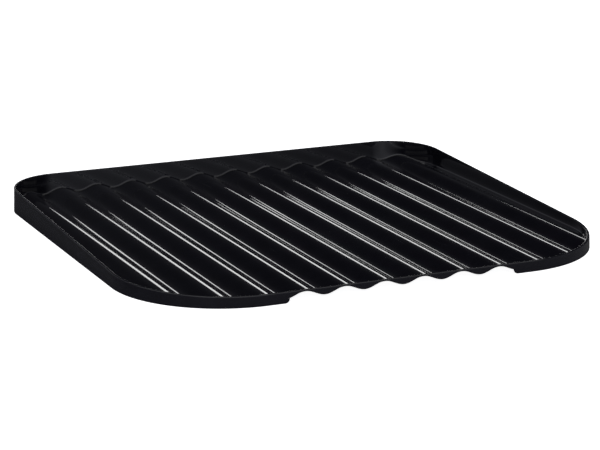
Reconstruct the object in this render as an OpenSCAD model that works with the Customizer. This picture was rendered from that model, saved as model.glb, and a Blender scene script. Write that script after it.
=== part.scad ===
// Drip tray for a dish rack: one thin moulding with a corrugated floor.
// The rim stands high along the back and slopes down both sides to the front,
// where it is level with the ridges. Between the front corners the skirt is cut
// away up to the wavy underside, so that the lip can reach over a sink's edge.
// Frame: millimetres, +Z up. The origin is on the surface that the tray stands
// on, under the middle of its footprint. The low, wavy lip faces -Y.

/* [Outline] */
// Width across the rim, left to right
tray_w = 460; // [400:5:500]
// Depth across the rim, front to back
tray_d = 432; // [340:4:460]
// Radius of the two front corners
front_corner_r = 103; // [70:1:115]
// Radius of the two back corners
back_corner_r = 52; // [30:1:65]

/* [Rim and wall] */
// Height of the rim along the back
back_h = 25; // [20:0.5:40]
// Height of the rim along the front
front_h = 10; // [9:0.5:14]
// Thickness of the wall
wall_t = 1.5; // [1.2:0.1:2.5]
// How far the foot of the wall stands out past the rim
flare = 0.8; // [0.2:0.1:2]
// How far the wall's inner face would come in from the back rim down to the ground
draft = 1; // [0.2:0.1:1.5]

/* [Corrugated floor] */
// Distance from one ridge to the next
ridge_pitch = 37.4; // [30:0.2:44]
// Depth of a channel below its ridges
channel_depth = 5; // [3:0.5:6]
// Thickness of the floor
floor_t = 1.3; // [1:0.1:2]
// How far the ridges lie below the front rim
ridge_drop = 0.2; // [0.1:0.1:1]

/* [Front cut-out] */
// Number of pitches that the cut-out spans
cutout_pitches = 6; // [2:2:6]
// Radius of the skirt's lower corner at each end of the cut-out
cutout_corner_r = 4; // [2:0.5:5]

/* [Hidden] */
// Flat strips that make up one pitch of the wave
wave_steps = 20;
// How far a cutting shape runs past the solid that it cuts
over = 3;
$fn = 96;

half_w = tray_w / 2;
half_d = tray_d / 2;
wave_step = ridge_pitch / wave_steps;
wave_count = ceil((half_w + over) / wave_step);
wave_half = wave_count * wave_step;
cutout_half = cutout_pitches * ridge_pitch / 2;

// Height of the floor's upper face at x: a channel runs down the middle of the
// tray, and ridges and channels follow each other evenly to both sides.
function floor_z(x) =
    front_h - ridge_drop - channel_depth / 2 * (1 + cos(360 * x / ridge_pitch));

// The wave from the left to the right, lowered by drop.
function wave_line(drop) =
    [for (i = [-wave_count : wave_count]) [i * wave_step, floor_z(i * wave_step) - drop]];

// How far a face stands out past its outline at height z, where it leans out by
// lean between the back rim's height and the ground.
function face_out(z, lean) = lean * (1 - z / back_h);

// Extrudes an outline drawn in Y and Z along X, centred on the middle.
module along_x(length) {
    rotate([90, 0, 90])
        linear_extrude(height = length, center = true)
            children();
}

// Extrudes an outline drawn in X and Z along Y, centred on y.
module along_y(length, y = 0) {
    translate([0, y, 0])
        rotate([90, 0, 0])
            linear_extrude(height = length, center = true)
                children();
}

// A section of the block from z0 to z1: both faces are reach from the middle at
// the back rim's height, and lean out by lean below it.
module leaning_profile(reach, z0, z1, lean) {
    low = reach + face_out(z0, lean);
    high = reach + face_out(z1, lean);
    polygon([[-low, z0], [low, z0], [high, z1], [-high, z1]]);
}

// One leaning corner of the block, with its axis at x, y.
module corner_post(x, y, r, z0, z1, lean) {
    translate([x, y, z0])
        cylinder(h = z1 - z0, r1 = r + face_out(z0, lean), r2 = r + face_out(z1, lean));
}

// The tray's outline as a solid block, moved in by inset, from z0 to z1.
module block(inset, z0, z1, lean) {
    w = half_w - inset;
    d = half_d - inset;
    rf = front_corner_r - inset;
    rb = back_corner_r - inset;
    along_x(2 * (w - rf))
        leaning_profile(d, z0, z1, lean);
    along_x(2 * (w - rb))
        polygon([
            [0, z0],
            [d + face_out(z0, lean), z0],
            [d + face_out(z1, lean), z1],
            [0, z1]
        ]);
    along_y(2 * d - rf - rb, (rf - rb) / 2)
        leaning_profile(w, z0, z1, lean);
    for (side = [-1, 1]) {
        corner_post(side * (w - rf), rf - d, rf, z0, z1, lean);
        corner_post(side * (w - rb), d - rb, rb, z0, z1, lean);
    }
}

// Everything under the sloping plane that the rim lies in.
module below_rim() {
    slope = (back_h - front_h) / tray_d;
    reach = half_d + over;
    along_x(tray_w + 2 * over)
        polygon([
            [-reach, -over],
            [reach, -over],
            [reach, back_h + slope * over],
            [-reach, front_h - slope * over]
        ]);
}

// Outline of the space above the corrugated floor.
module above_floor_outline() {
    polygon(concat(
        wave_line(0),
        [[wave_half, back_h + 2 * over], [-wave_half, back_h + 2 * over]]
    ));
}

// Outline of the space below the corrugated floor.
module below_floor_outline() {
    polygon(concat(
        wave_line(floor_t),
        [[wave_half, -2 * over], [-wave_half, -2 * over]]
    ));
}

// Outline of the front cut-out. The skirt's lower corners beside it are round.
module cutout_outline() {
    difference() {
        translate([-cutout_half, -over])
            square([2 * cutout_half, front_h + over]);
        for (side = [-1, 1])
            translate([side * cutout_half, cutout_corner_r]) {
                circle(r = cutout_corner_r);
                translate([-cutout_corner_r, 0])
                    square([2 * cutout_corner_r, front_h]);
            }
    }
}

// The space inside the rim, above the floor. The wall comes in towards its foot.
module upper_space() {
    intersection() {
        block(wall_t, 0, back_h + over, -draft);
        along_y(tray_d)
            above_floor_outline();
    }
}

// The space inside the skirt, below the floor.
module lower_space() {
    intersection() {
        block(wall_t, -over, front_h, flare);
        along_y(tray_d)
            below_floor_outline();
    }
}

// The gap under the wavy front lip.
module front_cutout() {
    along_y(wall_t + 2 * over, -half_d)
        intersection() {
            cutout_outline();
            below_floor_outline();
        }
}

// The whole tray. It is a single moulding: wall, floor and lip are one solid.
module drip_tray() {
    color([0.03, 0.03, 0.035])
        difference() {
            intersection() {
                block(0, 0, back_h + over, flare);
                below_rim();
            }
            upper_space();
            lower_space();
            front_cutout();
        }
}

drip_tray();
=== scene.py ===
"""A dish rack's drip tray in high-gloss black plastic, on a pale floor.

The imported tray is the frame. The shown tray is one closed mesh made here from
the same rules, with the fillets and rounded edges that a moulding has.
"""

import math

import bpy
import numpy as np
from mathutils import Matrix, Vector


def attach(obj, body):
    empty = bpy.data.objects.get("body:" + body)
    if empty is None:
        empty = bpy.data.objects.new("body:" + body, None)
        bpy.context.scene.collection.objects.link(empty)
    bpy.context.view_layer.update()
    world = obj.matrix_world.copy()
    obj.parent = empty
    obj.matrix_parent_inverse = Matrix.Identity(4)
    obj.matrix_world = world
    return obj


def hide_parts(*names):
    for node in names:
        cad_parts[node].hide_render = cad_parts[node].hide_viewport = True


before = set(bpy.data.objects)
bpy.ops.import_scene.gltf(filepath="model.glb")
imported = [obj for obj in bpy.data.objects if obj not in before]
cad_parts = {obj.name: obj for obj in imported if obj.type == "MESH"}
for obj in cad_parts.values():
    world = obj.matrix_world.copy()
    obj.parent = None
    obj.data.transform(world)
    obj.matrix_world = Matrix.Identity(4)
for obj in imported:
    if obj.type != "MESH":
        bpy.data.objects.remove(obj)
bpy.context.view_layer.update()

MM = 0.001

# The tray's own rules, in millimetres, as in the CAD model.
TRAY_W = 460.0
TRAY_D = 432.0
FRONT_R = 103.0
BACK_R = 52.0
BACK_H = 25.0
FRONT_H = 10.0
WALL_T = 1.5
FLARE = 0.8
DRAFT = 1.0
PITCH = 37.4
CHANNEL = 5.0
FLOOR_T = 1.3
RIDGE_DROP = 0.2
CUTOUT_HALF = 3 * PITCH
CUTOUT_R = 4.0
HALF_W = TRAY_W / 2
HALF_D = TRAY_D / 2

# The moulding's small radii, in millimetres.
GRID_INSET = 3.8
FILLET_R = 1.1
RIM_IN_R = 0.45
RIM_OUT_R = 0.6
FOOT_OUT_R = 0.45
FOOT_IN_R = 0.3
LIP_R = 1.1

# The mesh's density, and the corners' columns, in millimetres and degrees.
ROWS = 18
COLUMNS_PER_PITCH = 72
CORNER_BAND = 6.0
CORNER_STEP = 2.6
NOTCH_STEPS = (1.0, 0.985, 0.94, 0.86, 0.74, 0.58, 0.4, 0.2)
NOTCH_CLEAR = 0.02
LEAST_GAP = 0.22

# The studio, in metres: brightness of its sides, and the bright strip behind the tray.
FRONT_GLOW = 0.28
LEFT_FRONT_GLOW = 1.1
PANEL_GLOW = 0.3
REAR_GLOW = 0.034
VIEW_AZIMUTH = 24
STRIP_X = 0.93
STRIP_Y = 1.34
STRIP_WIDTH = 1.65
FLOOR_HALF = 12.0


def floor_z(x):
    """Height of the corrugated floor's upper face at x."""
    return FRONT_H - RIDGE_DROP - CHANNEL / 2 * (1 + np.cos(2 * math.pi * x / PITCH))


def face_out(z, lean):
    """How far a face stands out past its outline at height z, where it leans out by lean in all."""
    return lean * (1 - z / BACK_H)


def rim_z(y):
    """Height of the sloping rim at y."""
    return FRONT_H + (BACK_H - FRONT_H) * (y + HALF_D) / TRAY_D


def foot_z(x, front):
    """Height of the skirt's lower edge: it is cut away under the front lip."""
    under = floor_z(x) - FLOOR_T
    ax = np.abs(x)
    run = np.clip(CUTOUT_HALF - ax, 0.0, CUTOUT_R)
    arc = CUTOUT_R - np.sqrt(np.maximum(CUTOUT_R**2 - run**2, 0.0))
    z = np.where(ax >= CUTOUT_HALF, 0.0, np.where(run >= CUTOUT_R, under, np.minimum(arc, under)))
    return np.where(front, z, 0.0)


def columns():
    """Places along X of the floor's columns of points, dense enough for wave and corners."""
    edge = HALF_W - GRID_INSET
    step = PITCH / COLUMNS_PER_PITCH
    inner = [i * step for i in range(int((edge - CORNER_BAND) / step) + 1)]
    sweep = FRONT_R - GRID_INSET
    outer = []
    angle = 0.0
    while True:
        x = edge - sweep * (1 - math.cos(math.radians(angle)))
        if x < inner[-1] + 0.4 * step:
            break
        outer.append(x)
        angle += CORNER_STEP
    extra = [CUTOUT_HALF - CUTOUT_R * f for f in NOTCH_STEPS]
    extra.append(CUTOUT_HALF - CUTOUT_R - NOTCH_CLEAR)
    kept = [x for x in inner if min(abs(x - e) for e in extra) > LEAST_GAP]
    half = sorted(kept + outer + extra)
    return np.array([-x for x in reversed(half) if x > 0] + half)


def side_line(x, sign):
    """Y of the floor's outline at each x on one side (-1 front, 1 back), and its normal there."""
    r = FRONT_R if sign < 0 else BACK_R
    cx = HALF_W - r
    cy = sign * (HALF_D - r)
    ax = np.abs(x)
    run = np.clip(ax - cx, 0.0, r - GRID_INSET)
    depth = np.sqrt((r - GRID_INSET) ** 2 - run**2)
    y = cy + sign * depth
    nx = np.sign(x) * run / (r - GRID_INSET)
    ny = sign * depth / (r - GRID_INSET)
    return y, nx, ny


def tray_mesh(name):
    """The tray as one closed mesh of four-sided faces."""
    xs = columns()
    across = len(xs)
    rows = ROWS
    fy, fnx, fny = side_line(xs, -1)
    by, bnx, bny = side_line(xs, 1)
    v = np.linspace(0.0, 1.0, rows)
    gx = np.tile(xs, (rows, 1))
    gy = fy[None, :] + (by - fy)[None, :] * v[:, None]

    # Boundary stations, counter-clockwise seen from above, starting front left.
    idx = []
    idx += [(0, c) for c in range(across)]
    idx += [(r, across - 1) for r in range(1, rows)]
    idx += [(rows - 1, c) for c in range(across - 2, -1, -1)]
    idx += [(r, 0) for r in range(rows - 2, 0, -1)]
    idx = np.array(idx)
    n = len(idx)
    sx = gx[idx[:, 0], idx[:, 1]]
    sy = gy[idx[:, 0], idx[:, 1]]
    on_front = idx[:, 0] == 0
    on_back = idx[:, 0] == rows - 1
    nx = np.where(on_front, fnx[idx[:, 1]], np.where(on_back, bnx[idx[:, 1]], np.sign(sx)))
    ny = np.where(on_front, fny[idx[:, 1]], np.where(on_back, bny[idx[:, 1]], 0.0))

    def at(inset, z, lean=FLARE):
        """A ring point: inset from the rim's outline, moved out with the leaning face."""
        o = GRID_INSET - inset + face_out(z, lean)
        return sx + nx * o, sy + ny * o

    rings = []

    def ring(inset, z):
        x, y = at(inset, z)
        rings.append(np.stack([x, y, z + 0 * x], 1))

    def settle(inset, height, lean=FLARE):
        """Places a ring whose height depends on where it lands."""
        z = 7.0 + 0 * sx
        for _ in range(3):
            x, y = at(inset, z, lean)
            z = height(x, y)
        rings.append(np.stack([x, y, z], 1))
        return x, y, z

    # Height left for the inner face, which almost vanishes where a ridge meets the lip.
    x0, y0 = at(WALL_T, 8.0 + 0 * sx, -DRAFT)
    room = rim_z(y0) - floor_z(x0)
    rise = np.minimum(FILLET_R, 0.55 * room)
    turn = np.minimum(RIM_IN_R, 0.35 * room)

    for k in range(7):
        a = math.radians(90 * k / 6)
        settle(
            WALL_T + FILLET_R * (1 - math.sin(a)),
            lambda x, y, a=a: floor_z(x) + rise * (1 - math.cos(a)),
            -DRAFT,
        )
    foot_in = rings[-1][:, 2]
    top_in = rim_z(y0) - turn
    for f in (0.04, 0.5, 0.96):
        settle(WALL_T, lambda x, y, f=f: foot_in + (top_in - foot_in) * f, -DRAFT)
    for k in range(4):
        a = math.radians(90 * k / 3)
        settle(
            WALL_T - RIM_IN_R * (1 - math.cos(a)),
            lambda x, y, a=a: rim_z(y) - turn * (1 - math.sin(a)),
            -DRAFT,
        )
    for k in range(5):
        a = math.radians(90 * k / 4)
        settle(
            RIM_OUT_R * (1 - math.sin(a)),
            lambda x, y, a=a: rim_z(y) - RIM_OUT_R * (1 - math.cos(a)),
        )

    foot = foot_z(sx, on_front)
    under0 = floor_z(sx) - FLOOR_T
    skirt = np.clip(under0 - foot, 0.0, None)
    has_skirt = np.clip(skirt / 0.6, 0.0, 1.0)
    has_skirt = has_skirt * has_skirt * (3 - 2 * has_skirt)
    low_r = FOOT_OUT_R * has_skirt + np.minimum(LIP_R, 0.6 * (rim_z(sy) - RIM_OUT_R - foot)) * (1 - has_skirt)
    top_out = rings[-1][:, 2]
    for f in (0.04, 0.35, 0.65, 0.96):
        ring(0.0, top_out + (foot + low_r - top_out) * f)
    for k in range(5):
        a = math.radians(90 * k / 4)
        ring(low_r * (1 - math.cos(a)), foot + low_r * (1 - math.sin(a)))

    # From here the skirt's inner side, or the lip's flat underside where there is none.
    in_r = np.minimum(FOOT_IN_R, 0.4 * skirt)
    under_r = np.minimum(FILLET_R, 0.5 * skirt)
    inner = []
    for k in range(3):
        a = math.radians(45 * k)
        inner.append((WALL_T - in_r * (1 - math.sin(a)), foot + in_r * (1 - math.cos(a)), False))
    inner.append((WALL_T + 0 * sx, foot + in_r + (under0 - under_r - foot - in_r) * 0.5, False))
    for k in range(5):
        a = math.radians(90 * k / 4)
        inner.append((WALL_T + FILLET_R * (1 - math.cos(a)), under_r * (1 - math.sin(a)), True))
    last = len(inner)
    for k, (inset, z, from_floor) in enumerate(inner):
        spread = low_r + (WALL_T + FILLET_R - low_r) * (k + 1) / last
        i = inset * has_skirt + spread * (1 - has_skirt)
        zz = under0 - z if from_floor else z
        for _ in range(3):
            x, y = at(i, zz)
            base = floor_z(x) - FLOOR_T
            full = base - z if from_floor else z
            zz = full * has_skirt + base * (1 - has_skirt)
        rings.append(np.stack([x, y, zz], 1))

    m = len(rings)
    top = np.stack([gx, gy, floor_z(gx)], 2).reshape(-1, 3)
    low = np.stack([gx, gy, floor_z(gx) - FLOOR_T], 2).reshape(-1, 3)
    verts = np.concatenate([top, low] + rings) * MM
    size = rows * across
    first_ring = 2 * size

    faces = []
    r, c = np.meshgrid(np.arange(rows - 1), np.arange(across - 1), indexing="ij")
    a = (r * across + c).ravel()
    faces.append(np.stack([a, a + 1, a + across + 1, a + across], 1))
    faces.append(np.stack([a, a + across, a + across + 1, a + 1], 1) + size)
    edge_top = idx[:, 0] * across + idx[:, 1]
    loops = [edge_top] + [first_ring + k * n + np.arange(n) for k in range(m)] + [edge_top + size]
    for p, q in zip(loops[:-1], loops[1:]):
        faces.append(np.stack([p, q, np.roll(q, -1), np.roll(p, -1)], 1))
    faces = np.concatenate(faces)

    mesh = bpy.data.meshes.new(name)
    mesh.from_pydata(verts.tolist(), [], faces.tolist())
    mesh.update()
    mesh.validate()
    mesh.polygons.foreach_set("use_smooth", [True] * len(mesh.polygons))
    obj = bpy.data.objects.new(name, mesh)
    bpy.context.scene.collection.objects.link(obj)
    return obj


class Nodes:
    """Short calls for building one node tree."""

    def __init__(self, tree):
        self.tree = tree

    def add(self, kind, links=None, **values):
        """Adds a node: keyword values are its properties, links fill its sockets by name or number."""
        node = self.tree.nodes.new(kind)
        for key, value in values.items():
            setattr(node, key, value)
        for key, value in (links or {}).items():
            if isinstance(value, bpy.types.NodeSocket):
                self.tree.links.new(value, node.inputs[key])
            else:
                node.inputs[key].default_value = value
        return node

    def math(self, operation, first, second=0.0, clamp=False):
        node = self.add("ShaderNodeMath", {0: first, 1: second}, operation=operation, use_clamp=clamp)
        return node.outputs[0]

    def ramp(self, value, low, high, to_low=0.0, to_high=1.0):
        """A smooth step of value, from to_low at low to to_high at high."""
        links = {"Value": value, "From Min": low, "From Max": high, "To Min": to_low, "To Max": to_high}
        return self.add("ShaderNodeMapRange", links, interpolation_type="SMOOTHSTEP").outputs[0]

    def noise(self, point, scale, detail=2.0, stretch=(1, 1, 1), turn=0.0):
        """Noise over the object, in features per metre, stretched along the turned axes."""
        mapping = {"Vector": point, "Rotation": (0.0, 0.0, math.radians(turn)), "Scale": stretch}
        place = self.add("ShaderNodeMapping", mapping).outputs[0]
        links = {"Vector": place, "Scale": scale, "Detail": detail}
        return self.add("ShaderNodeTexNoise", links).outputs["Fac"]

    def blend(self, weight, below, colour):
        """Lays colour over the colour below it, by weight."""
        return self.add("ShaderNodeMix", {0: weight, 6: below, 7: colour}, data_type="RGBA").outputs[2]

    def bump(self, height, distance, below=None, invert=False):
        """A normal bent by height, which is distance metres high, over the normal below it."""
        links = {"Height": height, "Distance": distance, "Strength": 1.0}
        if below is not None:
            links["Normal"] = below
        return self.add("ShaderNodeBump", links, invert=invert).outputs[0]


def gloss_black():
    """High-gloss black plastic: moulding waviness, hairline scratches, smears, dust, rubbed edges."""
    mat = bpy.data.materials.new("tray_gloss_black")
    mat.use_nodes = True
    n = Nodes(mat.node_tree)
    bsdf = mat.node_tree.nodes["Principled BSDF"]
    bsdf.inputs["IOR"].default_value = 1.5
    point = n.add("ShaderNodeTexCoord").outputs["Object"]
    geometry = n.add("ShaderNodeNewGeometry")
    up = n.add("ShaderNodeSeparateXYZ", {0: geometry.outputs["Normal"]}).outputs["Z"]

    flow = n.noise(point, 26.0, 1.0, stretch=(1, 0.4, 1))
    grain = n.noise(point, 900.0, 3.0)
    smear = n.noise(point, 14.0, 4.0, stretch=(1, 0.35, 1), turn=28)
    hairs = n.math(
        "MAXIMUM",
        n.ramp(n.noise(point, 620.0, 2.0, stretch=(1, 0.02, 1), turn=9), 0.695, 0.73),
        n.ramp(n.noise(point, 540.0, 2.0, stretch=(0.025, 1, 1), turn=-17), 0.7, 0.735),
    )
    patchy = n.ramp(n.noise(point, 22.0, 3.0), 0.42, 0.62)
    hairs = n.math("MULTIPLY", hairs, patchy)

    # Rubbed edges: where the surface is bent outwards, broken up by noise.
    bent = n.ramp(geometry.outputs["Pointiness"], 0.53, 0.6)
    rubbed = n.math("MULTIPLY", bent, n.ramp(n.noise(point, 140.0, 4.0), 0.44, 0.66))

    # A thin film of dust on what faces up, denser in soft drifts.
    lying = n.ramp(up, 0.75, 0.98)
    drift = n.ramp(n.noise(point, 9.0, 5.0), 0.46, 0.74)
    speck = n.ramp(n.noise(point, 2600.0, 1.0), 0.7, 0.78)
    dust = n.math("MULTIPLY", lying, n.math("MAXIMUM", n.math("MULTIPLY", drift, 0.35), speck))

    # Colour: two close blacks with a faint blue cast, paler where rubbed, scratched or dusty.
    cloudy = n.ramp(n.noise(point, 60.0, 3.0), 0.3, 0.7)
    pigment = n.blend(cloudy, (0.0030, 0.0029, 0.0050, 1), (0.0040, 0.0039, 0.0064, 1))
    pigment = n.blend(n.math("MULTIPLY", rubbed, 0.6), pigment, (0.026, 0.026, 0.030, 1))
    pigment = n.blend(n.math("MULTIPLY", hairs, 0.25), pigment, (0.02, 0.02, 0.024, 1))
    pigment = n.blend(n.math("MULTIPLY", dust, 0.05), pigment, (0.07, 0.07, 0.068, 1))
    n.tree.links.new(pigment, bsdf.inputs["Base Color"])

    # Roughness: smears, and what breaks the gloss.
    gloss = n.ramp(smear, 0.4, 0.75, 0.045, 0.105)
    gloss = n.math("ADD", gloss, n.math("MULTIPLY", grain, 0.012))
    gloss = n.math("ADD", gloss, n.math("MULTIPLY", hairs, 0.12))
    gloss = n.math("ADD", gloss, n.math("MULTIPLY", dust, 0.05))
    gloss = n.math("ADD", gloss, n.math("MULTIPLY", rubbed, 0.22), clamp=True)
    n.tree.links.new(gloss, bsdf.inputs["Roughness"])

    bump = n.bump(flow, 0.00003)
    bump = n.bump(grain, 0.0000012, bump)
    bump = n.bump(hairs, 0.0000025, bump, invert=True)
    n.tree.links.new(bump, bsdf.inputs["Normal"])
    return mat


tray = tray_mesh("drip_tray_moulding")
tray.data.materials.append(gloss_black())
mod = tray.modifiers.new("normals", "WEIGHTED_NORMAL")
mod.weight = 60
mod.keep_sharp = False

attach(tray, "root")
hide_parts("drip_tray")

def studio_floor():
    """A white sweep. To glossy rays it is a painted shade, a grey that darkens towards the tray, so that the
    tray doesn't mirror a white floor.
    """
    half = FLOOR_HALF
    mesh = bpy.data.meshes.new("studio_floor")
    corners = [(-half, -half, 0), (half, -half, 0), (half, half, 0), (-half, half, 0)]
    mesh.from_pydata(corners, [], [(0, 1, 2, 3)])
    obj = bpy.data.objects.new("studio_floor", mesh)
    bpy.context.scene.collection.objects.link(obj)
    mat = bpy.data.materials.new("floor_pale")
    mat.use_nodes = True
    mat.node_tree.nodes.clear()
    n = Nodes(mat.node_tree)
    point = n.add("ShaderNodeTexCoord").outputs["Object"]
    along = n.add("ShaderNodeSeparateXYZ", {0: point}).outputs["Y"]
    pale = n.add("ShaderNodeBsdfDiffuse", {"Color": (0.85, 0.85, 0.85, 1)}).outputs[0]
    glow = n.add("ShaderNodeEmission", {"Strength": 0.95}).outputs[0]
    white = n.add("ShaderNodeAddShader", {0: pale, 1: glow}).outputs[0]
    # Painted shade: what the tray mirrors of the floor is grey, darker towards the tray.
    painted_shade_floor = n.add("ShaderNodeBsdfDiffuse", {"Color": n.ramp(along, -0.36, -0.06, 0.32, 0.08)}).outputs[0]
    glossy = n.add("ShaderNodeLightPath").outputs["Is Glossy Ray"]
    shown = n.add("ShaderNodeMixShader", {0: glossy, 1: white, 2: painted_shade_floor}).outputs[0]
    n.add("ShaderNodeOutputMaterial", {"Surface": shown})
    mesh.materials.append(mat)
    return obj


studio_floor()


def area(name, place, target, wide, tall, watts):
    """A rectangular area light at place, facing target and unseen by the camera."""
    data = bpy.data.lights.new(name, "AREA")
    data.shape = "RECTANGLE"
    data.size = wide
    data.size_y = tall
    data.energy = watts
    obj = bpy.data.objects.new(name, data)
    obj.location = place
    obj.rotation_euler = (Vector(target) - Vector(place)).to_track_quat("-Z", "Y").to_euler()
    obj.visible_camera = False
    bpy.context.scene.collection.objects.link(obj)


def polar(azimuth, elevation, distance):
    """A place as seen from the tray: azimuth right of +Y, elevation above the floor, in degrees."""
    a, e = math.radians(azimuth), math.radians(elevation)
    level = distance * math.cos(e)
    return level * math.sin(a), level * math.cos(a), distance * math.sin(e)


def studio_world():
    """The room round the set: bright in front, a dim panel behind on the left, dark behind the tray."""
    world = bpy.data.worlds.new("studio")
    world.use_nodes = True
    n = Nodes(world.node_tree)
    way = n.add("ShaderNodeTexCoord").outputs["Generated"]
    height = n.add("ShaderNodeSeparateXYZ", {0: way}).outputs["Z"]

    def towards(azimuth, elevation):
        links = {0: way, 1: polar(azimuth, elevation, 1.0)}
        return n.add("ShaderNodeVectorMath", links, operation="DOT_PRODUCT").outputs["Value"]

    front = n.ramp(towards(156, 0), -0.3, 0.5)
    front = n.math("MULTIPLY", front, n.ramp(towards(195, 0), 0.66, 0.9, FRONT_GLOW, LEFT_FRONT_GLOW))
    front = n.math("MULTIPLY", front, n.ramp(height, 0.3, 0.6, 1.0, 0.5))
    panel = n.ramp(towards(-78, 8), 0.2, 0.42, 0.0, PANEL_GLOW)
    rear = n.ramp(height, 0.3, 0.5, REAR_GLOW, 0.4 * REAR_GLOW)
    glow = n.math("MAXIMUM", n.math("MAXIMUM", front, panel), rear)
    back = world.node_tree.nodes["Background"]
    back.inputs["Color"].default_value = (0.94, 0.96, 1.06, 1)
    world.node_tree.links.new(glow, back.inputs["Strength"])
    return world


def strip(name, back, height, tall, watts):
    """A strip light behind the tray, level, and turned to the camera's side."""
    y = STRIP_Y + back
    aim = STRIP_X - y * math.tan(math.radians(VIEW_AZIMUTH))
    area(name, (STRIP_X, y, height), (aim, 0, height), STRIP_WIDTH, tall, watts)


bpy.context.scene.world = studio_world()
area("overhead", (0, 0, 4.0), (0, 0, 0), 6.0, 6.0, 110)
strip("low_strip", 0.0, 0.19, 0.26, 2.6)
strip("low_glow", 0.01, 0.09, 0.09, 0.25)

cam_data = bpy.data.cameras.new("camera")
cam_data.sensor_width = 36.0
cam_data.lens = 132.96
cam = bpy.data.objects.new("camera", cam_data)
cam.location = (-0.83265, -1.85359, 0.54155)
cam.rotation_euler = (math.radians(75.189), 0.0, math.radians(-24.143))
bpy.context.scene.collection.objects.link(cam)
bpy.context.scene.camera = cam
bpy.context.scene.view_settings.view_transform = "Standard"
